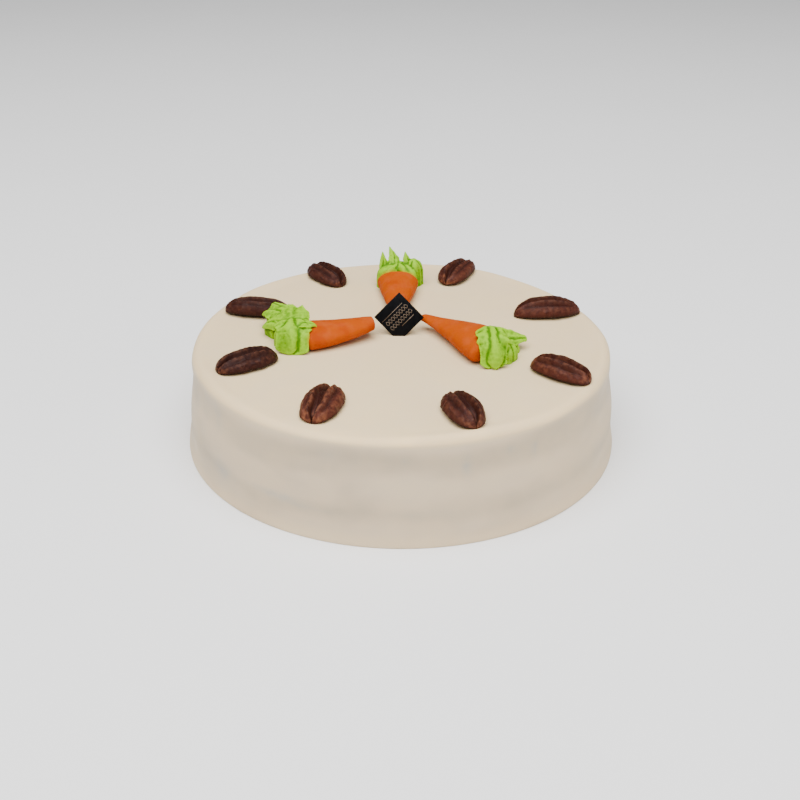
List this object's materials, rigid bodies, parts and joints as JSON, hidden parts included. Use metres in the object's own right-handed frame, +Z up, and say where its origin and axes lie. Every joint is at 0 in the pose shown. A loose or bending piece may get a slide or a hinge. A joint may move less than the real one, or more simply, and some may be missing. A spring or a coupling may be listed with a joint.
{
  "type": "carrot cake",
  "caption": "Whole round carrot cake with smooth cream cheese frosting, topped with pecan halves, marzipan carrots with piped icing leaves, and a small square chocolate plaque.",
  "frame": {"origin": "centre of the cake's flat underside", "axes": "+Z up, -Y towards the front, +X to the right"},
  "size_m": [0.236, 0.236, 0.0786],
  "materials": {
    "frosting": "smooth matte cream cheese frosting",
    "pecan": "wrinkled dark brown nut skin",
    "marzipan": "satin orange marzipan",
    "leaf_icing": "soft green piped icing",
    "plaque": "satin dark chocolate with thin gold lines"
  },
  "bodies": {
    "root": {"cake": "frosting", "pecan_back_left": "pecan", "pecan_back_right": "pecan", "pecan_right_back": "pecan", "pecan_right_front": "pecan", "pecan_front_right": "pecan", "pecan_front_left": "pecan", "pecan_left_front": "pecan", "pecan_left_back": "pecan", "carrot_left": "marzipan", "carrot_right": "marzipan", "carrot_back": "marzipan", "leaves_left": "leaf_icing", "leaves_right": "leaf_icing", "leaves_back": "leaf_icing", "plaque": "plaque"}
  },
  "joints": []
}
